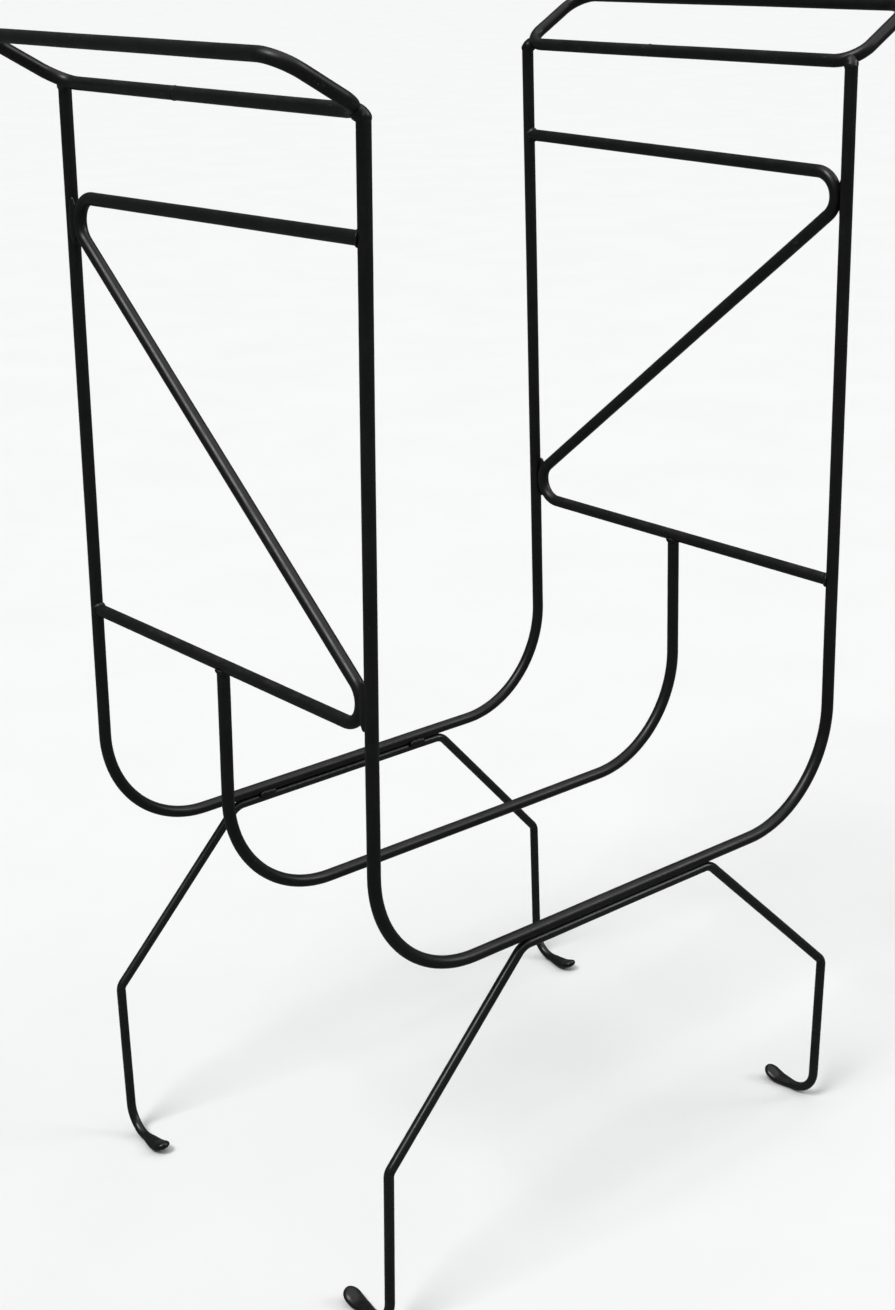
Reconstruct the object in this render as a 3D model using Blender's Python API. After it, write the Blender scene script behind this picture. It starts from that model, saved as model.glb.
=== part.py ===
"""Firewood log rack, welded from nine bent round steel rods.

Two tall U-shaped hoops and a short one between them carry the logs. A Z-shaped brace fills each
side, a closed handle loop joins the hoop tops on each side, and a thinner bent rod under each tall
hoop makes a pair of legs with widened, round-tipped toes.

Metres, +Z up. X runs from the left side frame to the right one, Y from the front hoop (-Y) to the
back hoop (+Y). The origin is on the floor, under the middle of the rack.
"""
import math
from collections import namedtuple

import bmesh
import bpy
from mathutils import Vector, geometry

# Rods
ROD = 0.008                 # diameter of the hoop, brace and handle rod
LEG_ROD = 0.0064            # diameter of the leg rod
GAP = 0.0003                # clearance that touching pieces keep
SIDES = 12                  # facets round a rod, one of them facing straight down
BEND_STEP = math.radians(12)  # largest turn between two rings of a bend

# Hoops
CRADLE_Z = 0.236            # centre line of the hoops' level bottoms
HANDLE_Z = 0.736            # centre line of the handles' inner rails
HALF_DEPTH = 0.146          # front and back hoops stand this far from the middle
HALF_WIDTH_LOW = 0.200      # uprights' distance from the middle at the cradle
HALF_WIDTH_TOP = 0.189      # and at the handles, so the uprights lean inwards
HOOP_RADIUS = 0.075         # bend at each lower corner
UPRIGHT_TOP = HANDLE_Z - 0.0025  # square ends, just under the handles' corners

# Side braces
UPPER_BEND_Z = 0.669        # centre line where the upper rail starts to bend
UPPER_RAIL_RISE = 0.0045    # the upper rail's welded end is this much higher
LOWER_RAIL_Z = 0.402        # centre line of the lower rail
BRACE_RADIUS = 0.015        # both tight bends

# Handles
HANDLE_OUT = 0.053          # outer rail's distance outside the inner one
HANDLE_UP = 0.0305          # and its height above it
HANDLE_HALF_LENGTH = 0.148  # middle to either end rail
HANDLE_RADIUS = 0.017       # the four corners
HANDLE_SEAM_Y = 0.025       # where the loop's two ends meet, on the inner rail

# Legs
FRONT_BAR_HALF = 0.084      # half length of the bar welded under the front hoop
BACK_BAR_HALF = 0.096       # and of the one under the back hoop, bent a little wider
LEG_BEND_RADIUS = 0.014
KNEE = Vector((0.199, 0.152, 0.117))
KNEE_RADIUS = 0.007
HEEL_X = 0.200
HEEL_Y = 0.1495
HEEL_RADIUS = 0.019
TOE_LENGTH = 0.044          # heel corner to toe tip
TOE_WIDTH = 0.0124
TOE_THICKNESS = 0.0062
TOE_FLAT = 0.0105           # length of the sole that lies flat before the toe turns up
TOE_LIFT = 0.0055           # upturn of the tip

# Weld beads: half sizes along, across and out of each seam
BUTT_BEAD = (0.0036, 0.0055, 0.0055)
SIDE_BEAD = (0.0070, 0.0034, 0.0030)
BEND_BEAD = (0.0150, 0.0042, 0.0034)
CORNER_BEAD = (0.0067, 0.0047, 0.0047)
CORNER_SHARE = 0.33         # the corner beads' place on the way from upright to handle
LEG_WELD_X = 0.070
COLLAR_HALF = 0.0020
COLLAR_EDGE = 0.0002        # how far the seam's collar stands out at its rims
COLLAR_HEIGHT = 0.0005      # and at its middle

UP = Vector((0, 0, 1))
Station = namedtuple("Station", "point direction width thickness toe")

STEEL_BLACK = (0.018, 0.019, 0.021, 1.0)


def clear_scene():
    for obj in list(bpy.data.objects):
        bpy.data.objects.remove(obj)


def material(name, roughness):
    """Black powder coat over steel."""
    mat = bpy.data.materials.new(name + "_coat")
    mat.use_nodes = True
    shader = mat.node_tree.nodes["Principled BSDF"]
    shader.inputs["Base Color"].default_value = STEEL_BLACK
    shader.inputs["Roughness"].default_value = roughness
    shader.inputs["Metallic"].default_value = 0.0
    mat.diffuse_color = STEEL_BLACK
    return mat


def add_object(name, bm, roughness=0.45):
    """Turn a bmesh into one smooth-shaded object with its own material."""
    bmesh.ops.recalc_face_normals(bm, faces=bm.faces)
    mesh = bpy.data.meshes.new(name)
    bm.to_mesh(mesh)
    bm.free()
    mesh.shade_smooth()
    mesh.set_sharp_from_angle(angle=math.radians(40))
    mesh.materials.append(material(name, roughness))
    obj = bpy.data.objects.new(name, mesh)
    bpy.context.collection.objects.link(obj)
    return obj


# --- centre lines -----------------------------------------------------------------------------

def half_width(z):
    """Distance of the leaning uprights from the middle at height z."""
    t = (z - CRADLE_Z) / (HANDLE_Z - CRADLE_Z)
    return HALF_WIDTH_LOW + (HALF_WIDTH_TOP - HALF_WIDTH_LOW) * t


def bend(before, corner, after, radius, rod):
    """Stations round one corner that is rounded to a bend radius."""
    into = (corner - before).normalized()
    out = (after - corner).normalized()
    turn = into.angle(out)
    axis = into.cross(out).normalized()
    start = corner - into * radius * math.tan(turn / 2)
    centre = start + axis.cross(into) * radius
    steps = max(2, math.ceil(turn / BEND_STEP))
    stations = []
    for k in range(steps + 1):
        angle = turn * k / steps
        direction = into * math.cos(angle) + axis.cross(into) * math.sin(angle)
        point = centre + direction.cross(axis) * radius
        stations.append(Station(point, direction, rod, rod, False))
    return stations


def centre_line(corners, radii, rod):
    """Straight runs and round bends through a list of corners."""
    first = (corners[1] - corners[0]).normalized()
    last = (corners[-1] - corners[-2]).normalized()
    stations = [Station(corners[0], first, rod, rod, False)]
    for k, radius in enumerate(radii):
        stations += bend(corners[k], corners[k + 1], corners[k + 2], radius, rod)
    stations.append(Station(corners[-1], last, rod, rod, False))
    return stations


def hoop_line(y, top):
    """A U from the left upright's top, under the logs, to the right upright's top."""
    wide = half_width(top)
    corners = [Vector((-wide, y, top)), Vector((-HALF_WIDTH_LOW, y, CRADLE_Z)),
               Vector((HALF_WIDTH_LOW, y, CRADLE_Z)), Vector((wide, y, top))]
    return centre_line(corners, [HOOP_RADIUS, HOOP_RADIUS], ROD)


def brace_corners():
    """Corners of the left brace in its side plane, as (y, z) pairs.

    Each bend's outermost point touches an upright. The diagonal is the line that touches both
    bend circles from opposite sides.
    """
    reach = HALF_DEPTH - ROD - GAP
    r = BRACE_RADIUS
    upper = Vector((reach - r, UPPER_BEND_Z - r))
    lower = Vector((r - reach, LOWER_RAIL_Z + r))
    across = upper - lower
    slope = math.atan2(across.y, across.x) + math.asin(2 * r / across.length)
    normal = Vector((math.sin(slope), -math.cos(slope)))
    fall = math.atan2(UPPER_RAIL_RISE, 2 * HALF_DEPTH)
    rail = Vector((math.cos(fall), -math.sin(fall)))
    rail_point = upper + Vector((math.sin(fall), math.cos(fall))) * r
    end_y = HALF_DEPTH - ROD / 2 - GAP * 1.5
    upper_end = rail_point - rail * ((rail_point.x + end_y) / rail.x)
    lower_run = (Vector((0, LOWER_RAIL_Z)), Vector((1, LOWER_RAIL_Z)))
    diagonal = (upper + normal * r, lower - normal * r)
    top = line_crossing(rail_point, rail_point + rail, *diagonal)
    foot = line_crossing(*lower_run, *diagonal)
    return [upper_end, top, foot, Vector((end_y, LOWER_RAIL_Z))]


def line_crossing(a, b, c, d):
    """Where the line through a and b crosses the line through c and d."""
    return geometry.intersect_line_line(a.to_3d(), b.to_3d(), c.to_3d(), d.to_3d())[0].to_2d()


def brace_line(side):
    """Z-shaped brace. The right one is the left one turned half a turn about Z."""
    corners = [Vector((side * half_width(z), -side * y, z)) for y, z in brace_corners()]
    return centre_line(corners, [BRACE_RADIUS, BRACE_RADIUS], ROD)


def handle_line(side):
    """Rounded rectangle that flares outwards and upwards from the uprights' tops."""
    inner = Vector((side * HALF_WIDTH_TOP, 0, HANDLE_Z))
    outer = inner + Vector((side * HANDLE_OUT, 0, HANDLE_UP))
    end = Vector((0, HANDLE_HALF_LENGTH, 0))
    seam = inner + Vector((0, HANDLE_SEAM_Y, 0))
    half_gap = Vector((0, GAP / 2, 0))
    corners = [seam + half_gap, inner + end, outer + end, outer - end, inner - end, seam - half_gap]
    return centre_line(corners, [HANDLE_RADIUS] * 4, ROD)


def sole_height(thickness):
    """Centre height at which a section's lowest facet lies on the floor."""
    return thickness / 2 * math.cos(math.pi / SIDES)


def toe_stations(root, direction):
    """The widened toe, from just past the heel bend to its round tip."""
    length = TOE_LENGTH - HEEL_RADIUS
    flare = length - TOE_WIDTH / 2
    rows = []
    for k in range(1, 6):
        t = k / 5
        ease = math.sin(t * math.pi / 2)
        width = LEG_ROD + (TOE_WIDTH - LEG_ROD) * ease
        rows.append((flare * t, width, LEG_ROD + (TOE_THICKNESS - LEG_ROD) * ease))
    for degrees in (30, 52, 72):
        a = math.radians(degrees)
        along = flare + TOE_WIDTH / 2 * math.sin(a)
        rows.append((along, TOE_WIDTH * math.cos(a), TOE_THICKNESS * math.cos(a) ** 0.75))
    stations = []
    for along, width, thickness in rows:
        past_flat = max(0.0, along - TOE_FLAT) / (length - TOE_FLAT)
        point = root + direction * along
        point.z = sole_height(max(thickness, TOE_THICKNESS)) + TOE_LIFT * past_flat ** 2
        slope = UP * (2 * TOE_LIFT * past_flat / (length - TOE_FLAT))
        stations.append(Station(point, (direction + slope).normalized(), width, thickness, True))
    return stations


def leg_line(front):
    """Toe, heel, knee, bar under the hoop, knee, heel and toe; front is 1 or -1."""
    y = -front
    bar_half = FRONT_BAR_HALF if front > 0 else BACK_BAR_HALF
    heel_z = sole_height(LEG_ROD)
    bar_z = CRADLE_Z - ROD / 2 - LEG_ROD / 2 - GAP
    inward = Vector((0, front, 0))
    half = []
    half.append(Vector((HEEL_X, y * (HEEL_Y - TOE_LENGTH), heel_z)))
    half.append(Vector((HEEL_X, y * HEEL_Y, heel_z)))
    half.append(Vector((KNEE.x, y * KNEE.y, KNEE.z)))
    half.append(Vector((bar_half, y * HALF_DEPTH, bar_z)))
    mirrored = [Vector((-p.x, p.y, p.z)) for p in half]
    radii = [HEEL_RADIUS, KNEE_RADIUS, LEG_BEND_RADIUS]
    round_part = centre_line(mirrored + half[::-1], radii + radii[::-1], LEG_ROD)[1:-1]
    left_toe = toe_stations(round_part[0].point, inward)
    right_toe = toe_stations(round_part[-1].point, inward)
    backwards = [s._replace(direction=-s.direction) for s in left_toe[::-1]]
    return backwards + round_part + right_toe


# --- solids -----------------------------------------------------------------------------------

def section(width, thickness):
    """Round when the two sizes agree, otherwise an oval."""
    angles = [(k + 0.5) * 2 * math.pi / SIDES for k in range(SIDES)]
    return [(width / 2 * math.cos(a), thickness / 2 * math.sin(a)) for a in angles]


def sweep(stations, grow=0.0):
    """Closed solid along the stations; grow adds to the radius and to both ends."""
    bm = bmesh.new()
    direction = stations[0].direction
    side = direction.cross(UP)
    if side.length < 0.1:
        side = direction.cross(Vector((0, 1, 0)))
    side.normalize()
    previous = None
    for index, station in enumerate(stations):
        side.rotate(direction.rotation_difference(station.direction))
        direction = station.direction
        if station.toe:
            level = direction.cross(UP).normalized()
            side = level if level.dot(side) > 0 else -level
        rise = side.cross(direction)
        centre = station.point.copy()
        if index == 0:
            centre -= direction * grow
        if index == len(stations) - 1:
            centre += direction * grow
        shape = section(station.width + 2 * grow, station.thickness + 2 * grow)
        ring = [bm.verts.new(centre + side * a + rise * b) for a, b in shape]
        if previous:
            for k in range(SIDES):
                n = (k + 1) % SIDES
                bm.faces.new((previous[k], previous[n], ring[n], ring[k]))
        else:
            bm.faces.new(ring)
        previous = ring
    bm.faces.new(previous)
    return bm


def rod(name, stations):
    """A bent rod, and a hidden, slightly fatter copy that cuts its clearance in the welds."""
    add_object(name, sweep(stations))
    cutter = add_object(name + "_clearance", sweep(stations, GAP))
    cutter.hide_render = True
    cutter.display_type = "WIRE"


def weld(name, centre, along, across, half_sizes, joined):
    """A lump of weld metal, hollowed where the two rods that it joins pass through it."""
    along = along.normalized()
    out = along.cross(across).normalized()
    across = out.cross(along)
    bm = bmesh.new()
    bmesh.ops.create_icosphere(bm, subdivisions=3, radius=1.0)
    for vert in bm.verts:
        a, b, c = (x * h for x, h in zip(vert.co, half_sizes))
        vert.co = centre + along * a + across * b + out * c
    obj = add_object("weld_" + name, bm, roughness=0.5)
    for rod_name in joined:
        cut = obj.modifiers.new(rod_name, "BOOLEAN")
        cut.operation = "DIFFERENCE"
        cut.solver = "EXACT"
        cut.object = bpy.data.objects[rod_name + "_clearance"]


def collar(name, centre):
    """Low bead round a handle's inner rail, where the loop's two ends are welded together."""
    inner = ROD / 2 + GAP
    rim = inner + COLLAR_EDGE
    profile = [(-COLLAR_HALF, inner), (COLLAR_HALF, inner), (COLLAR_HALF, rim),
               (0.0, inner + COLLAR_HEIGHT), (-COLLAR_HALF, rim)]
    bm = bmesh.new()
    rings = []
    for k in range(SIDES):
        a = (k + 0.5) * 2 * math.pi / SIDES
        spoke = Vector((math.cos(a), 0, math.sin(a)))
        rings.append([bm.verts.new(centre + spoke * r + Vector((0, y, 0))) for y, r in profile])
    for k in range(SIDES):
        one, two = rings[k], rings[(k + 1) % SIDES]
        for j in range(len(profile)):
            n = (j + 1) % len(profile)
            bm.faces.new((one[j], one[n], two[n], two[j]))
    add_object("weld_" + name, bm, roughness=0.5)


# --- the rack ---------------------------------------------------------------------------------

def build_rods():
    rod("front_hoop", hoop_line(-HALF_DEPTH, UPRIGHT_TOP))
    rod("back_hoop", hoop_line(HALF_DEPTH, UPRIGHT_TOP))
    rod("middle_hoop", hoop_line(0.0, LOWER_RAIL_Z - ROD / 2 - GAP * 1.5))
    for word, side in (("left", -1), ("right", 1)):
        rod(word + "_brace", brace_line(side))
        rod(word + "_handle", handle_line(side))
    rod("front_leg_frame", leg_line(1))
    rod("back_leg_frame", leg_line(-1))


def weld_braces(word, side):
    """Two square-cut rail ends and two bends, each welded to an upright of the same side."""
    brace = word + "_brace"
    near, far = ("front_hoop", "back_hoop") if side < 0 else ("back_hoop", "front_hoop")
    y_out = Vector((0, -side, 0))
    upper_end, _, _, lower_end = brace_corners()
    for place, (y, z), hoop in (("upper_rail", upper_end, near), ("lower_rail", lower_end, far)):
        centre = Vector((side * half_width(z), -side * y, z))
        weld(word + "_" + place, centre, y_out, UP, BUTT_BEAD, (brace, hoop))
    contact = HALF_DEPTH - (ROD + GAP) / 2
    for place, z, end, hoop in (("upper_bend", UPPER_BEND_Z - BRACE_RADIUS, 1, far),
                                ("lower_bend", LOWER_RAIL_Z + BRACE_RADIUS, -1, near)):
        x = side * (half_width(z) + ROD * 0.36)
        centre = Vector((x, -side * end * contact, z))
        weld(word + "_" + place, centre, UP, y_out, BEND_BEAD, (brace, hoop))


def weld_handle(word, side):
    """Weld metal joins each upright's top to the handle's corner; the handle's own ends meet."""
    line = [station.point for station in handle_line(side)]
    for hoop, end in (("front", -1), ("back", 1)):
        top = Vector((side * HALF_WIDTH_TOP, end * HALF_DEPTH, UPRIGHT_TOP))
        corner = min(line, key=lambda point: (point - top).length)
        weld(word + "_handle_" + hoop, top.lerp(corner, CORNER_SHARE), corner - top, UP,
             CORNER_BEAD, (word + "_handle", hoop + "_hoop"))
    collar(word + "_handle_seam", Vector((side * HALF_WIDTH_TOP, HANDLE_SEAM_Y, HANDLE_Z)))


def weld_legs(word, front):
    """Two short seams hold each leg bar under its hoop, on the side that faces inwards."""
    y = -front * (HALF_DEPTH - ROD * 0.42)
    z = CRADLE_Z - ROD / 2 - GAP / 2
    for name, side in (("left", -1), ("right", 1)):
        weld(word + "_leg_" + name, Vector((side * LEG_WELD_X, y, z)), Vector((1, 0, 0)), UP,
             SIDE_BEAD, (word + "_leg_frame", word + "_hoop"))


def main():
    clear_scene()
    build_rods()
    for word, side in (("left", -1), ("right", 1)):
        weld_braces(word, side)
        weld_handle(word, side)
        z = LOWER_RAIL_Z - ROD / 2 - GAP
        centre = Vector((side * half_width(z), 0, z))
        weld(word + "_middle_hoop", centre, UP, Vector((0, 1, 0)), BUTT_BEAD,
             (word + "_brace", "middle_hoop"))
    weld_legs("front", 1)
    weld_legs("back", -1)


main()
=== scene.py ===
"""Looks of the firewood log rack: bent round bars, rippled weld beads and satin black powder coat.

Metres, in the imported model's frame: +X to the right side frame, +Y to the back hoop, +Z up, and
the origin on the floor under the middle of the rack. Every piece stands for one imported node.
"""
import math
from collections import namedtuple

import bmesh
import bpy
from mathutils import Matrix, Vector, geometry, noise


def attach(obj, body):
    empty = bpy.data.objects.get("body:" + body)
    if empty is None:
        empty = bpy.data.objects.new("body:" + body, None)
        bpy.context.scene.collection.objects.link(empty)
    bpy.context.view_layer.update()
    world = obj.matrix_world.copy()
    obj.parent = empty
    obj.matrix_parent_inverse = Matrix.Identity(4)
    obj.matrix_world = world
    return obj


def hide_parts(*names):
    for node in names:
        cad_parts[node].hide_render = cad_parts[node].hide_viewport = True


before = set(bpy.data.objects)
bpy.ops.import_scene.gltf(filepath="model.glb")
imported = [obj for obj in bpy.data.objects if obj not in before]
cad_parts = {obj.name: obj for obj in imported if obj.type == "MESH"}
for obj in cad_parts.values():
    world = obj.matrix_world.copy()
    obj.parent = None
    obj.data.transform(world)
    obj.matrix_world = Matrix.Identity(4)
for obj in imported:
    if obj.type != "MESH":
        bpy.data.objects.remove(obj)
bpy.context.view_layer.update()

# Rods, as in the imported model
ROD = 0.008
LEG_ROD = 0.0064
GAP = 0.0003

# Hoops
CRADLE_Z = 0.236
HANDLE_Z = 0.736
HALF_DEPTH = 0.146
HALF_WIDTH_LOW = 0.200
HALF_WIDTH_TOP = 0.189
HOOP_RADIUS = 0.075
UPRIGHT_DROP = 0.0025       # from the handle's centre line down to an upright's top
UPRIGHT_TOP = HANDLE_Z - UPRIGHT_DROP

# Side braces
UPPER_BEND_Z = 0.669
UPPER_RAIL_RISE = 0.0045
LOWER_RAIL_Z = 0.402
BRACE_RADIUS = 0.015

# Handles
HANDLE_OUT = 0.053
HANDLE_UP = 0.0305
HANDLE_HALF_LENGTH = 0.148
HANDLE_RADIUS = 0.017
HANDLE_SEAM_Y = 0.025

# Legs
FRONT_BAR_HALF = 0.084
BACK_BAR_HALF = 0.096
LEG_BEND_RADIUS = 0.014
KNEE = Vector((0.199, 0.152, 0.117))
KNEE_RADIUS = 0.007
HEEL_X = 0.200
HEEL_Y = 0.1495
HEEL_RADIUS = 0.019
TOE_LENGTH = 0.044
TOE_WIDTH = 0.0124
TOE_THICKNESS = 0.0062
TOE_FLAT = 0.0105
TOE_LIFT = 0.0055
TIP_POWER = 0.75            # below 1, the tip stays thick for longer before it rounds off
LEG_WELD_X = 0.070

# Fineness of the meshes
SIDES = 32                  # faces round a rod
STEP = 0.004                # between rings of a straight run
BEND_STEP = math.radians(3.5)
TOE_STEPS = 22
TIP_STEPS = 9
TIP_ANGLE = math.radians(88)    # how far round the tip's curve its last ring is
CHAMFER = 0.0005            # broken edge of a cut rod end
COAT = 0.00006              # thickness of the powder coat
SHARP_EDGE = math.radians(50)
NEARLY_UPRIGHT = 0.1        # sine of a bar's lean, below which sideways is taken from the Y axis
HAIR = 1e-5                 # slack when two places are compared

# Workshop irregularities
WANDER = 0.00018            # how far a bar strays from its true line
WANDER_SCALE = 9.0
WANDER_SEED = 5
LUMP = 0.00003              # unevenness of its surface
LUMP_SCALE = 130.0
BEND_FLATTENING = 0.13      # thinning of a bend's section, times rod radius over bend radius
FLATTENING_ONSET = 0.7      # power of the sine that fades it in and out along the bend
HAMMER = 0.00012            # dents of a hammered toe
HAMMER_SCALE = 260.0
SOLE_NORMAL = -0.3          # faces that look further down than this are left smooth

# Straight weld beads: half sizes along, across and out
BEND_SEAM = (0.0150, 0.0036, 0.0020)    # beside the braces' bends
BEND_SEAM_OUT = ROD * 0.30              # its distance outside the plane of the rods
LEG_SEAM = (0.0070, 0.0027, 0.0019)     # between leg bar and hoop
LEG_SEAM_IN = ROD * 0.42                # its distance inside the plane of the rods
CORNER_FILL = (0.0067, 0.0045, 0.0045)  # between an upright's top and the handle's corner
CORNER_SHARE = 0.33                     # its place on the way from upright to handle

# Ring-shaped weld beads: half sizes across and out
TEE_RING = (0.0016, 0.0008)
TEE_STEPS = 120
TEE_STAND = 0.0001          # the ring's path runs this far outside the rod's surface
TEE_TILT = 0.55             # lean of the ring towards the ending rod
COLLAR_RING = (0.0013, 0.0003)
COLLAR_STEPS = 96
COLLAR_SINK = 0.0001        # the ring's path runs this far inside the rod's surface
COLLAR_WAVER = 0.0002       # how far it strays along the rod
RING_SWELLINGS = 3
RING_SWELL = 0.10
RING_PHASE = 700.0          # turns a ring's place into the phase of its swellings

# How far the tee ring's path runs back from the joint of the two rods' axes
TEE_BACK = 0.0007           # all round, in metres
TEE_BACK_ALL = 0.50         # all round, in rod radii
TEE_BACK_IN_LINE = 0.52     # as well as that in line with the other rod, in rod radii
TEE_BACK_POWER = 1.5        # how sharply that last share rises

# Surface of the weld metal
BEAD_SIDES = 20
BEAD_STEPS = 64
BEAD_TAPER = 2.6            # higher gives blunter ends
BEAD_LUMP = 0.00016
BEAD_LUMP_SCALE = 420.0
RIPPLE_PITCH = 0.0011       # from one frozen ripple of the weld pool to the next
RIPPLE_DEPTH = 0.00011
RIPPLE_CRESCENT = 0.9       # how far the ripples trail at the bead's edges, in pitches
WEAVE = 0.00022             # sideways wander of the torch
WEAVE_TURN = 9.0            # its radians over half a bead
LIFT = 0.0001               # outward wander of the torch
LIFT_TURN = 6.0
LIFT_LEAD = 1.0

UP = Vector((0, 0, 1))
ALONG_X = Vector((1, 0, 0))
ALONG_Y = Vector((0, 1, 0))

Station = namedtuple("Station", "point direction axis flattening width thickness toe")


# --- centre lines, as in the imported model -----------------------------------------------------

def half_width(z):
    """Distance of the leaning uprights from the middle at height z."""
    t = (z - CRADLE_Z) / (HANDLE_Z - CRADLE_Z)
    return HALF_WIDTH_LOW + (HALF_WIDTH_TOP - HALF_WIDTH_LOW) * t


def bend(before, corner, after, radius, rod):
    """Stations round one corner; the section flattens a little in the bend's plane."""
    into = (corner - before).normalized()
    out = (after - corner).normalized()
    turn = into.angle(out)
    axis = into.cross(out).normalized()
    start = corner - into * radius * math.tan(turn / 2)
    centre = start + axis.cross(into) * radius
    steps = max(4, math.ceil(turn / BEND_STEP))
    stations = []
    for k in range(steps + 1):
        angle = turn * k / steps
        direction = into * math.cos(angle) + axis.cross(into) * math.sin(angle)
        point = centre + direction.cross(axis) * radius
        swell = abs(math.sin(math.pi * k / steps)) ** FLATTENING_ONSET
        flattening = BEND_FLATTENING * rod / 2 / radius * swell
        stations.append(Station(point, direction, axis, flattening, rod, rod, False))
    return stations


def straight(start, end, rod):
    """Stations inside a straight run, without its two ends."""
    run = end - start
    count = max(2, math.ceil(run.length / STEP))
    direction = run.normalized()
    return [Station(start + run * k / count, direction, UP, 0.0, rod, rod, False)
            for k in range(1, count)]


def centre_line(corners, radii, rod):
    """Straight runs and round bends through a list of corners."""
    first = (corners[1] - corners[0]).normalized()
    last = (corners[-1] - corners[-2]).normalized()
    stations = [Station(corners[0], first, UP, 0.0, rod, rod, False)]
    for k, radius in enumerate(radii):
        turn = bend(corners[k], corners[k + 1], corners[k + 2], radius, rod)
        stations += straight(stations[-1].point, turn[0].point, rod) + turn
    stations += straight(stations[-1].point, corners[-1], rod)
    stations.append(Station(corners[-1], last, UP, 0.0, rod, rod, False))
    return stations


def hoop_line(y, top):
    wide = half_width(top)
    corners = [Vector((-wide, y, top)), Vector((-HALF_WIDTH_LOW, y, CRADLE_Z)),
               Vector((HALF_WIDTH_LOW, y, CRADLE_Z)), Vector((wide, y, top))]
    return centre_line(corners, [HOOP_RADIUS, HOOP_RADIUS], ROD)


def line_crossing(a, b, c, d):
    """Where the line through a and b crosses the line through c and d."""
    return geometry.intersect_line_line(a.to_3d(), b.to_3d(), c.to_3d(), d.to_3d())[0].to_2d()


def brace_corners():
    """Corners of the left brace in its side plane, as (y, z) pairs."""
    reach = HALF_DEPTH - ROD - GAP
    r = BRACE_RADIUS
    upper = Vector((reach - r, UPPER_BEND_Z - r))
    lower = Vector((r - reach, LOWER_RAIL_Z + r))
    across = upper - lower
    slope = math.atan2(across.y, across.x) + math.asin(2 * r / across.length)
    normal = Vector((math.sin(slope), -math.cos(slope)))
    fall = math.atan2(UPPER_RAIL_RISE, 2 * HALF_DEPTH)
    rail = Vector((math.cos(fall), -math.sin(fall)))
    rail_point = upper + Vector((math.sin(fall), math.cos(fall))) * r
    end_y = HALF_DEPTH - ROD / 2 - GAP * 1.5
    upper_end = rail_point - rail * ((rail_point.x + end_y) / rail.x)
    lower_run = (Vector((0, LOWER_RAIL_Z)), Vector((1, LOWER_RAIL_Z)))
    diagonal = (upper + normal * r, lower - normal * r)
    top = line_crossing(rail_point, rail_point + rail, *diagonal)
    foot = line_crossing(*lower_run, *diagonal)
    return [upper_end, top, foot, Vector((end_y, LOWER_RAIL_Z))]


def brace_line(side):
    corners = [Vector((side * half_width(z), -side * y, z)) for y, z in brace_corners()]
    return centre_line(corners, [BRACE_RADIUS, BRACE_RADIUS], ROD)


def handle_line(side):
    inner = Vector((side * HALF_WIDTH_TOP, 0, HANDLE_Z))
    outer = inner + Vector((side * HANDLE_OUT, 0, HANDLE_UP))
    end = Vector((0, HANDLE_HALF_LENGTH, 0))
    seam = inner + Vector((0, HANDLE_SEAM_Y, 0))
    half_gap = Vector((0, GAP / 2, 0))
    corners = [seam + half_gap, inner + end, outer + end, outer - end, inner - end, seam - half_gap]
    return centre_line(corners, [HANDLE_RADIUS] * 4, ROD)


def toe_stations(root, direction):
    """The widened toe, from just past the heel bend to its round tip, which turns up."""
    length = TOE_LENGTH - HEEL_RADIUS
    flare = length - TOE_WIDTH / 2
    rows = []
    for k in range(1, TOE_STEPS + 1):
        t = k / TOE_STEPS
        ease = math.sin(t * math.pi / 2)
        width = LEG_ROD + (TOE_WIDTH - LEG_ROD) * ease
        rows.append((flare * t, width, LEG_ROD + (TOE_THICKNESS - LEG_ROD) * ease))
    for k in range(1, TIP_STEPS + 1):
        a = TIP_ANGLE * k / TIP_STEPS
        along = flare + TOE_WIDTH / 2 * math.sin(a)
        rows.append((along, TOE_WIDTH * math.cos(a), TOE_THICKNESS * math.cos(a) ** TIP_POWER))
    stations = []
    for along, width, thickness in rows:
        past_flat = max(0.0, along - TOE_FLAT) / (length - TOE_FLAT)
        point = root + direction * along
        point.z = max(thickness, TOE_THICKNESS) / 2 + TOE_LIFT * past_flat ** 2
        slope = UP * (2 * TOE_LIFT * past_flat / (length - TOE_FLAT))
        facing = (direction + slope).normalized()
        stations.append(Station(point, facing, UP, 0.0, width, thickness, True))
    return stations


def leg_line(front):
    """Toe, heel, knee, bar under the hoop, knee, heel and toe; front is 1 or -1."""
    y = -front
    bar_half = FRONT_BAR_HALF if front > 0 else BACK_BAR_HALF
    bar_z = CRADLE_Z - ROD / 2 - LEG_ROD / 2 - GAP
    inward = Vector((0, front, 0))
    half = []
    half.append(Vector((HEEL_X, y * (HEEL_Y - TOE_LENGTH), LEG_ROD / 2)))
    half.append(Vector((HEEL_X, y * HEEL_Y, LEG_ROD / 2)))
    half.append(Vector((KNEE.x, y * KNEE.y, KNEE.z)))
    half.append(Vector((bar_half, y * HALF_DEPTH, bar_z)))
    mirrored = [Vector((-p.x, p.y, p.z)) for p in half]
    radii = [HEEL_RADIUS, KNEE_RADIUS, LEG_BEND_RADIUS]
    line = centre_line(mirrored + half[::-1], radii + radii[::-1], LEG_ROD)
    heel_y = abs(bend(half[0], half[1], half[2], HEEL_RADIUS, LEG_ROD)[0].point.y) - HAIR
    lowest = LEG_ROD / 2 + HAIR
    round_part = [s for s in line if abs(s.point.y) >= heel_y or s.point.z > lowest]
    left_toe = toe_stations(round_part[0].point, inward)
    right_toe = toe_stations(round_part[-1].point, inward)
    backwards = [s._replace(direction=-s.direction) for s in left_toe[::-1]]
    return backwards + round_part + right_toe


# --- meshes -----------------------------------------------------------------------------------

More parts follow.
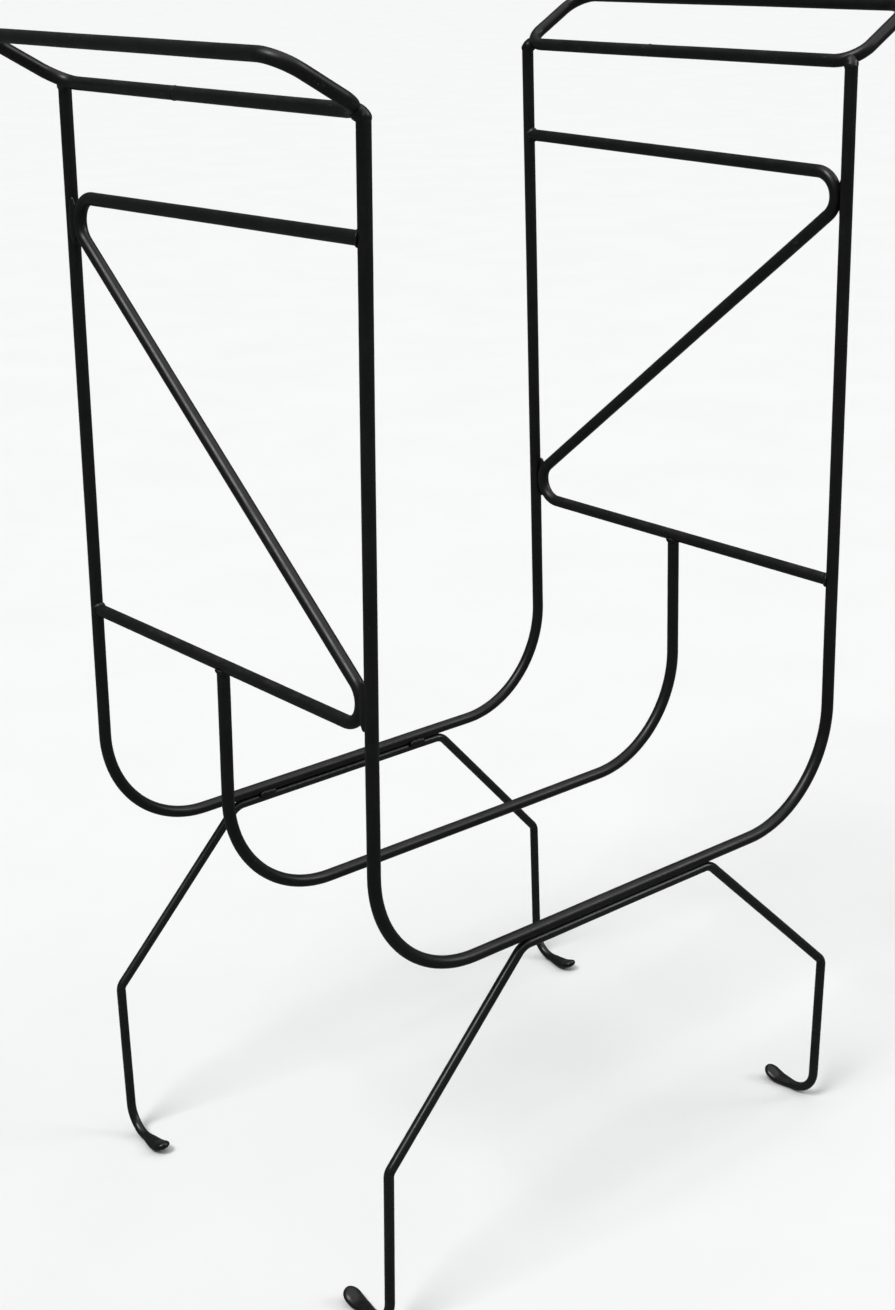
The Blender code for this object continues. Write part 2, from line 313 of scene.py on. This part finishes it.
def uneven(point, scale):
    """A smooth value between about -1 and 1 that depends on the place only."""
    return noise.noise(point * scale)


def uneven_vector(point, scale):
    return noise.noise_vector(point * scale)


def finish_piece(name, bm, mat, node):
    """A smooth-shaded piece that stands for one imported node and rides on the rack's body."""
    bmesh.ops.recalc_face_normals(bm, faces=bm.faces)
    mesh = bpy.data.meshes.new(name)
    bm.to_mesh(mesh)
    bm.free()
    mesh.shade_smooth()
    mesh.set_sharp_from_angle(angle=SHARP_EDGE)
    mesh.materials.append(mat)
    obj = bpy.data.objects.new(name, mesh)
    bpy.context.scene.collection.objects.link(obj)
    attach(obj, "root")
    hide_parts(node)
    return obj


def bridge(bm, one, two):
    count = len(one)
    for k in range(count):
        n = (k + 1) % count
        bm.faces.new((one[k], one[n], two[n], two[k]))


def close_end(bm, ring):
    """Fans a ring in to its own middle."""
    middle = bm.verts.new(sum((v.co for v in ring), Vector()) / len(ring))
    count = len(ring)
    for k in range(count):
        bm.faces.new((ring[k], ring[(k + 1) % count], middle))


def section(width, thickness):
    """Round when the two sizes agree, otherwise an oval."""
    angles = [(k + 0.5) * 2 * math.pi / SIDES for k in range(SIDES)]
    return [(width / 2 * math.cos(a), thickness / 2 * math.sin(a)) for a in angles]


def narrowed(station, along, inset):
    """The same station moved along the bar, with its section drawn in all round."""
    return station._replace(point=station.point + station.direction * along,
                            width=station.width - 2 * inset,
                            thickness=station.thickness - 2 * inset)


def end_rings(stations):
    """Adds the broken edge at each cut end, as extra stations that narrow."""
    first, last = stations[0], stations[-1]
    if first.toe:
        return stations
    before = []
    after = []
    for angle in (90, 60, 30):
        a = math.radians(angle)
        inset = CHAMFER * (1 - math.cos(a))
        shrink = 2 * CHAMFER * (1 - math.cos(math.pi / 2 - a))
        before.append(narrowed(first, shrink / 2, inset))
        after.append(narrowed(last, -shrink / 2, inset))
    lead = narrowed(first, CHAMFER, 0.0)
    tail = narrowed(last, -CHAMFER, 0.0)
    return before + [lead] + stations[1:-1] + [tail] + after[::-1]


def sweep(stations):
    """Closed bar along the stations, with the small unevenness of bent and coated steel."""
    bm = bmesh.new()
    direction = stations[0].direction
    side = direction.cross(UP)
    if side.length < NEARLY_UPRIGHT:
        side = direction.cross(ALONG_Y)
    side.normalize()
    rings = []
    for station in stations:
        side.rotate(direction.rotation_difference(station.direction))
        direction = station.direction
        if station.toe:
            level = direction.cross(UP).normalized()
            side = level if level.dot(side) > 0 else -level
        rise = side.cross(direction)
        in_plane = station.axis.cross(direction)
        strays = uneven_vector(station.point, WANDER_SCALE) * WANDER
        strays -= direction * strays.dot(direction)
        if station.toe or station.point.z < LEG_ROD:
            strays = Vector()
        ring = []
        for a, b in section(station.width + 2 * COAT, station.thickness + 2 * COAT):
            spoke = side * a + rise * b
            if station.flattening:
                spoke -= in_plane * (spoke.dot(in_plane) * station.flattening)
                spoke += station.axis * (spoke.dot(station.axis) * station.flattening / 2)
            normal = spoke.normalized()
            place = station.point + spoke
            lump = uneven(place, LUMP_SCALE) * LUMP
            if station.toe and normal.z > SOLE_NORMAL:
                lump -= abs(uneven(place, HAMMER_SCALE)) * HAMMER
            ring.append(bm.verts.new(place + strays + normal * lump))
        if rings:
            bridge(bm, rings[-1], ring)
        rings.append(ring)
    close_end(bm, rings[0])
    close_end(bm, rings[-1])
    return bm


# --- weld beads -------------------------------------------------------------------------------

def ripple(along, lateral):
    """Crescent ripples: steep on one side, and trailing towards the bead's edges."""
    phase = along / RIPPLE_PITCH - RIPPLE_CRESCENT * lateral * lateral
    saw = phase - math.floor(phase)
    return (1 - saw) ** 2 * RIPPLE_DEPTH


def bead_ring(bm, centre, across, out, half_across, half_out, along):
    """One ring of a bead. Its profile is an ellipse that bulges outwards."""
    ring = []
    for k in range(BEAD_SIDES):
        a = 2 * math.pi * k / BEAD_SIDES
        lateral = math.cos(a)
        spoke = across * (half_across * lateral) + out * (half_out * math.sin(a))
        place = centre + spoke
        grow = ripple(along, lateral) + uneven(place, BEAD_LUMP_SCALE) * BEAD_LUMP
        ring.append(bm.verts.new(place + spoke.normalized() * grow))
    return ring


def torch_wander(across, out, t):
    """How far the bead strays from its line; t runs from -1 to 1 along it."""
    sideways = WEAVE * math.sin(t * WEAVE_TURN)
    outwards = LIFT * math.sin(t * LIFT_TURN + LIFT_LEAD)
    return across * sideways + out * outwards


def seam_bead(centre, along, out, half_sizes):
    """A short straight bead with tapered ends."""
    half_length, half_across, half_out = half_sizes
    along = along.normalized()
    across = out.cross(along).normalized()
    bm = bmesh.new()
    rings = []
    for k in range(BEAD_STEPS + 1):
        t = -1 + 2 * (k + 0.25) / (BEAD_STEPS + 0.5)
        full = (1 - abs(t) ** BEAD_TAPER) ** 0.5
        run = half_length * t
        place = centre + along * run + torch_wander(across, out, t)
        ring = bead_ring(bm, place, across, out, half_across * full, half_out * full, run)
        if rings:
            bridge(bm, rings[-1], ring)
        rings.append(ring)
    close_end(bm, rings[0])
    close_end(bm, rings[-1])
    return bm


def ring_bead(path, outs, half_across, half_out):
    """A closed bead round a joint, through a loop of points."""
    bm = bmesh.new()
    rings = []
    count = len(path)
    run = 0.0
    for k in range(count):
        before, here, after = path[k - 1], path[k], path[(k + 1) % count]
        tangent = (after - before).normalized()
        out = outs[k] - tangent * outs[k].dot(tangent)
        out.normalize()
        across = out.cross(tangent).normalized()
        turn = 2 * math.pi * k / count
        swell = 1 + RING_SWELL * math.sin(turn * RING_SWELLINGS + path[0].x * RING_PHASE)
        rings.append(bead_ring(bm, here, across, out, half_across * swell, half_out * swell, run))
        run += (after - here).length
    for k in range(count):
        bridge(bm, rings[k - 1], rings[k])
    return bm


def tee_bead(joint, into, through):
    """Bead round a square-cut rod end that butts against another rod of the same size.

    into points along the ending rod towards the joint of the two axes, and through along the other.
    """
    r = ROD / 2
    through = (through - into * through.dot(into)).normalized()
    beside = into.cross(through)
    path = []
    outs = []
    for k in range(TEE_STEPS):
        a = 2 * math.pi * k / TEE_STEPS
        radial = through * math.cos(a) + beside * math.sin(a)
        saddle = TEE_BACK_ALL + TEE_BACK_IN_LINE * abs(math.cos(a)) ** TEE_BACK_POWER
        back = r * saddle + TEE_BACK
        path.append(joint - into * back + radial * (r + TEE_STAND))
        outs.append((radial - into * TEE_TILT).normalized())
    return ring_bead(path, outs, *TEE_RING)


def corner_bead(side, end):
    """Weld metal that fills the way from an upright's top to the handle's corner."""
    top = Vector((side * HALF_WIDTH_TOP, end * HALF_DEPTH, UPRIGHT_TOP))
    corner = min((s.point for s in handle_line(side)), key=lambda point: (point - top).length)
    along = (corner - top).normalized()
    out = UP - along * along.z
    return seam_bead(top.lerp(corner, CORNER_SHARE), along, out.normalized(), CORNER_FILL)


def collar_bead(centre):
    """Low bead round the handle's inner rail, where the loop's two ends are joined."""
    path = []
    outs = []
    for k in range(COLLAR_STEPS):
        a = 2 * math.pi * k / COLLAR_STEPS
        radial = Vector((math.cos(a), 0, math.sin(a)))
        waver = ALONG_Y * (COLLAR_WAVER * math.sin(2 * a))
        path.append(centre + radial * (ROD / 2 - COLLAR_SINK) + waver)
        outs.append(radial)
    return ring_bead(path, outs, *COLLAR_RING)


# --- materials --------------------------------------------------------------------------------

def socket(node, name, value):
    node.inputs[name].default_value = value


class Graph:
    """Short names for building one material's nodes."""

    def __init__(self, name):
        self.mat = bpy.data.materials.new(name)
        self.mat.use_nodes = True
        self.nodes = self.mat.node_tree.nodes
        self.links = self.mat.node_tree.links
        self.shader = self.nodes["Principled BSDF"]
        coordinates = self.nodes.new("ShaderNodeTexCoord")
        self.place = coordinates.outputs["Object"]

    def link(self, source, target):
        self.links.new(source, target)

    def noise(self, scale, detail=2.0, roughness=0.5, vector=None):
        node = self.nodes.new("ShaderNodeTexNoise")
        socket(node, "Scale", scale)
        socket(node, "Detail", detail)
        socket(node, "Roughness", roughness)
        self.link(vector or self.place, node.inputs["Vector"])
        return node.outputs["Fac"]

    def stretched(self, scale):
        node = self.nodes.new("ShaderNodeMapping")
        socket(node, "Scale", scale)
        self.link(self.place, node.inputs["Vector"])
        return node.outputs["Vector"]

    def ramp(self, source, low, high, to_low=0.0, to_high=1.0):
        node = self.nodes.new("ShaderNodeMapRange")
        node.interpolation_type = "SMOOTHSTEP"
        socket(node, "From Min", low)
        socket(node, "From Max", high)
        socket(node, "To Min", to_low)
        socket(node, "To Max", to_high)
        self.link(source, node.inputs["Value"])
        return node.outputs["Result"]

    def maths(self, operation, one, two):
        node = self.nodes.new("ShaderNodeMath")
        node.operation = operation
        for slot, value in zip(node.inputs, (one, two)):
            if isinstance(value, float):
                slot.default_value = value
            else:
                self.link(value, slot)
        return node.outputs["Value"]

    def mix(self, factor, one, two):
        node = self.nodes.new("ShaderNodeMix")
        node.data_type = "RGBA"
        self.link(factor, node.inputs["Factor"])
        for slot, value in (("A", one), ("B", two)):
            target = [i for i in node.inputs if i.name == slot and i.type == "RGBA"][0]
            if isinstance(value, tuple):
                target.default_value = value
            else:
                self.link(value, target)
        return [o for o in node.outputs if o.type == "RGBA"][0]

    def facing_up(self):
        geometry_node = self.nodes.new("ShaderNodeNewGeometry")
        split = self.nodes.new("ShaderNodeSeparateXYZ")
        self.link(geometry_node.outputs["Normal"], split.inputs["Vector"])
        return split.outputs["Z"]

    def height(self):
        split = self.nodes.new("ShaderNodeSeparateXYZ")
        self.link(self.place, split.inputs["Vector"])
        return split.outputs["Z"]

    def bump(self, source, distance, normal=None):
        node = self.nodes.new("ShaderNodeBump")
        socket(node, "Distance", distance)
        self.link(source, node.inputs["Height"])
        if normal:
            self.link(normal, node.inputs["Normal"])
        return node.outputs["Normal"]


# The coat's darkest and lightest patches, its gloss, and what lies on it and under it
FRAME_TONES = ((0.0031, 0.0031, 0.0031, 1.0), (0.0056, 0.0056, 0.0055, 1.0))
LEG_TONES = ((0.0050, 0.0051, 0.0053, 1.0), (0.0088, 0.0090, 0.0094, 1.0))
FRAME_ROUGHNESS = (0.33, 0.42)
LEG_ROUGHNESS = (0.24, 0.32)
DUST = (0.075, 0.068, 0.060, 1.0)
RUBBED = (0.052, 0.053, 0.055, 1.0)
STEEL = (0.30, 0.29, 0.28, 1.0)
COAT_SPECULAR = 0.38
DUST_COVER = 0.16           # how much of the coat's colour settled dust hides
DUST_DULLS = 0.9            # how much rougher that dust makes it
RUB_DULLS = 0.12
CHIP_REACH = 0.004          # chips only show this close to the floor
PEEL_DEPTH = 0.000035       # orange peel
GRAIN_DEPTH = 0.000006      # the powder's own grain
SCRATCH_STRETCH = (1500.0, 160.0, 240.0)


def powder_coat(name, tones, roughness, grain, rub, chip):
    """Satin black powder coat: orange peel, uneven gloss, settled dust, rubbed spots and chips."""
    g = Graph(name)
    cloud = g.noise(scale=28.0, detail=4.0, roughness=0.6)
    mottle = g.noise(scale=420.0, detail=3.0, roughness=0.6)
    shade = g.maths("ADD", g.maths("MULTIPLY", cloud, 0.6), g.maths("MULTIPLY", mottle, 0.4))
    colour = g.mix(g.ramp(shade, low=0.38, high=0.62), *tones)

    level = g.ramp(g.facing_up(), low=0.45, high=0.98)
    settled = g.ramp(g.noise(scale=60.0, detail=5.0, roughness=0.7), low=0.42, high=0.72)
    dust = g.maths("MULTIPLY", g.maths("MULTIPLY", level, settled), DUST_COVER)
    colour = g.mix(dust, colour, DUST)

    lines = g.noise(scale=1.0, detail=3.0, roughness=0.6, vector=g.stretched(SCRATCH_STRETCH))
    patches = g.ramp(g.noise(scale=36.0), low=0.52, high=0.66)
    marks = g.maths("MULTIPLY", g.ramp(lines, low=0.66, high=0.72), patches)
    marks = g.maths("MULTIPLY", marks, rub)
    colour = g.mix(marks, colour, RUBBED)

    near_floor = g.ramp(g.height(), low=CHIP_REACH, high=0.0)
    flakes = g.ramp(g.noise(scale=900.0, detail=4.0, roughness=0.7), low=0.62, high=0.66)
    chips = g.maths("MULTIPLY", g.maths("MULTIPLY", flakes, near_floor), chip)
    colour = g.mix(chips, colour, STEEL)
    g.link(colour, g.shader.inputs["Base Color"])

    smooth, dull = roughness
    gloss = g.ramp(g.noise(scale=90.0, detail=3.0, roughness=0.6), low=0.3, high=0.7,
                   to_low=smooth, to_high=dull)
    gloss = g.maths("ADD", gloss, g.maths("MULTIPLY", dust, DUST_DULLS))
    gloss = g.maths("ADD", gloss, g.maths("MULTIPLY", marks, RUB_DULLS))
    g.link(gloss, g.shader.inputs["Roughness"])

    peel = g.bump(g.noise(scale=620.0, roughness=0.45), PEEL_DEPTH * grain)
    fine = g.bump(g.noise(scale=2600.0), GRAIN_DEPTH * grain, peel)
    g.link(fine, g.shader.inputs["Normal"])
    socket(g.shader, "Specular IOR Level", COAT_SPECULAR)
    return g.mat


# --- the rack ---------------------------------------------------------------------------------

def build_rods(coats):
    middle_top = LOWER_RAIL_Z - ROD / 2 - GAP * 1.5
    lines = {"front_hoop": hoop_line(-HALF_DEPTH, UPRIGHT_TOP),
             "back_hoop": hoop_line(HALF_DEPTH, UPRIGHT_TOP),
             "middle_hoop": hoop_line(0.0, middle_top),
             "left_brace": brace_line(-1), "right_brace": brace_line(1),
             "left_handle": handle_line(-1), "right_handle": handle_line(1)}
    for node, line in lines.items():
        finish_piece(node + "_bar", sweep(end_rings(line)), coats["frame"], node)
    for node, front in (("front_leg_frame", 1), ("back_leg_frame", -1)):
        finish_piece(node + "_bar", sweep(leg_line(front)), coats["leg"], node)


def place_weld(node, bm, coats):
    finish_piece(node + "_bead", bm, coats["weld"], node)


def build_welds(coats):
    lean = Vector((HALF_WIDTH_TOP - HALF_WIDTH_LOW, 0, HANDLE_Z - CRADLE_Z)).normalized()
    upper_end, _, _, lower_end = brace_corners()
    contact = HALF_DEPTH - (ROD + GAP) / 2
    for word, side in (("left", -1), ("right", 1)):
        upright = Vector((side * lean.x, 0, lean.z))
        outward = Vector((side, 0, 0))
        for place, z, end in (("upper_rail", upper_end.y, -1), ("lower_rail", lower_end.y, 1)):
            y = -side * end * HALF_DEPTH
            joint = Vector((side * half_width(z), y, z))
            into = Vector((0, math.copysign(1, y), 0))
            place_weld(f"weld_{word}_{place}", tee_bead(joint, into, upright), coats)
        for place, z, end in (("upper_bend", UPPER_BEND_Z - BRACE_RADIUS, 1),
                              ("lower_bend", LOWER_RAIL_Z + BRACE_RADIUS, -1)):
            centre = Vector((side * (half_width(z) + BEND_SEAM_OUT), -side * end * contact, z))
            bm = seam_bead(centre, upright, outward, BEND_SEAM)
            place_weld(f"weld_{word}_{place}", bm, coats)
        z = LOWER_RAIL_Z
        joint = Vector((side * half_width(z), 0, z))
        place_weld(f"weld_{word}_middle_hoop", tee_bead(joint, UP, ALONG_Y), coats)
        for hoop, end in (("front", -1), ("back", 1)):
            place_weld(f"weld_{word}_handle_{hoop}", corner_bead(side, end), coats)
        seam = Vector((side * HALF_WIDTH_TOP, HANDLE_SEAM_Y, HANDLE_Z))
        place_weld(f"weld_{word}_handle_seam", collar_bead(seam), coats)
    for word, front in (("front", 1), ("back", -1)):
        y = -front * (HALF_DEPTH - LEG_SEAM_IN)
        z = CRADLE_Z - ROD / 2 - GAP / 2
        for name, side in (("left", -1), ("right", 1)):
            centre = Vector((side * LEG_WELD_X, y, z))
            bm = seam_bead(centre, ALONG_X, Vector((0, front, 0)), LEG_SEAM)
            place_weld(f"weld_{word}_leg_{name}", bm, coats)


# --- studio -----------------------------------------------------------------------------------

FLOOR_TONES = ((0.805, 0.805, 0.80, 1.0), (0.82, 0.82, 0.815, 1.0))
FLOOR_SPECULAR = 0.1
FLOOR_RADIUS = 60.0
FLOOR_DROP = 0.0002         # keeps the floor clear of the pieces that rest on it
SKY_SEEN = (0.93, 0.93, 0.93, 1.0)
SKY_LIGHT = (0.90, 0.95, 1.0, 1.0)
SKY_STRENGTH = 0.13


def build_floor():
    """A plain pale floor. Its mirror image is kept out of the black bars, as with a dark flag."""
    g = Graph("studio_floor")
    tone = g.ramp(g.noise(scale=5.0, detail=4.0, roughness=0.6), low=0.3, high=0.7)
    g.link(g.mix(tone, *FLOOR_TONES), g.shader.inputs["Base Color"])
    dull = g.ramp(g.noise(scale=30.0, detail=3.0), low=0.3, high=0.7, to_low=0.8, to_high=0.9)
    g.link(dull, g.shader.inputs["Roughness"])
    socket(g.shader, "Specular IOR Level", FLOOR_SPECULAR)
    bm = bmesh.new()
    bmesh.ops.create_circle(bm, cap_ends=True, segments=96, radius=FLOOR_RADIUS)
    mesh = bpy.data.meshes.new("studio_floor")
    bm.to_mesh(mesh)
    bm.free()
    mesh.materials.append(g.mat)
    floor = bpy.data.objects.new("studio_floor", mesh)
    floor.location.z = -FLOOR_DROP
    floor.visible_glossy = False
    bpy.context.scene.collection.objects.link(floor)


def far_panel(name, direction, power, width, mirrored):
    """A round light far away towards direction, so it lights the floor evenly.

    width is its angle in degrees, and mirrored is how strongly it shows in reflections.
    """
    light = bpy.data.lights.new(name, "SUN")
    light.energy = power
    light.angle = math.radians(width)
    light.specular_factor = mirrored
    obj = bpy.data.objects.new(name, light)
    obj.rotation_mode = "QUATERNION"
    obj.rotation_quaternion = (-Vector(direction)).to_track_quat("-Z", "Y")
    bpy.context.scene.collection.objects.link(obj)


def build_world():
    """Pale to the eye, and dim in the bars' reflections."""
    world = bpy.data.worlds.new("studio")
    world.use_nodes = True
    nodes = world.node_tree.nodes
    links = world.node_tree.links
    dim = nodes["Background"]
    socket(dim, "Color", SKY_LIGHT)
    socket(dim, "Strength", SKY_STRENGTH)
    pale = nodes.new("ShaderNodeBackground")
    socket(pale, "Color", SKY_SEEN)
    rays = nodes.new("ShaderNodeLightPath")
    mix = nodes.new("ShaderNodeMixShader")
    links.new(rays.outputs["Is Camera Ray"], mix.inputs["Fac"])
    links.new(dim.outputs["Background"], mix.inputs[1])
    links.new(pale.outputs["Background"], mix.inputs[2])
    links.new(mix.outputs["Shader"], nodes["World Output"].inputs["Surface"])
    bpy.context.scene.world = world


def build_studio():
    build_floor()
    build_world()
    far_panel("key_panel", (-0.53, -0.09, 0.84), power=2.1, width=22.0, mirrored=1.0)
    far_panel("rim_panel", (0.75, -0.55, 0.5), power=0.66, width=20.0, mirrored=1.0)
    far_panel("fill_panel", (0.24, -0.20, 0.95), power=1.3, width=80.0, mirrored=0.0)


CAMERA_PLACE = (-0.8397, -0.9801, 0.8364)
CAMERA_YAW = 39.023         # degrees from +Y towards +X
CAMERA_PITCH = -20.961
CAMERA_ROLL = -1.379
FOCAL_SHARE = 1.5629        # focal length as a share of the picture's long side
SHIFT = (0.0239, 0.0190)    # the framing's small offset, as a share of the long side
SENSOR = 36.0               # millimetres
NEAREST = 0.01
FURTHEST = 200.0


def build_camera():
    data = bpy.data.cameras.new("camera")
    data.sensor_width = SENSOR
    data.lens = FOCAL_SHARE * SENSOR
    data.shift_x, data.shift_y = SHIFT
    data.clip_start = NEAREST
    data.clip_end = FURTHEST
    camera = bpy.data.objects.new("camera", data)
    yaw, pitch, roll = (math.radians(x) for x in (CAMERA_YAW, CAMERA_PITCH, CAMERA_ROLL))
    ahead = Vector((math.sin(yaw), math.cos(yaw), 0))
    forward = ahead * math.cos(pitch) + UP * math.sin(pitch)
    level = Vector((math.cos(yaw), -math.sin(yaw), 0))
    above = level.cross(forward)
    right = level * math.cos(roll) + above * math.sin(roll)
    top = above * math.cos(roll) - level * math.sin(roll)
    turn = Matrix((right, top, -forward)).transposed().to_4x4()
    camera.matrix_world = Matrix.Translation(CAMERA_PLACE) @ turn
    bpy.context.scene.collection.objects.link(camera)
    bpy.context.scene.camera = camera


def main():
    noise.seed_set(WANDER_SEED)
    coats = {"frame": powder_coat("frame_powder_coat", FRAME_TONES, FRAME_ROUGHNESS,
                                  grain=1.0, rub=0.8, chip=0.0),
             "leg": powder_coat("leg_powder_coat", LEG_TONES, LEG_ROUGHNESS,
                                grain=1.0, rub=0.5, chip=0.8),
             "weld": powder_coat("weld_powder_coat", FRAME_TONES, FRAME_ROUGHNESS,
                                 grain=1.4, rub=0.3, chip=0.0)}
    build_rods(coats)
    build_welds(coats)
    build_studio()
    build_camera()
    bpy.context.scene.view_settings.view_transform = "Standard"


main()
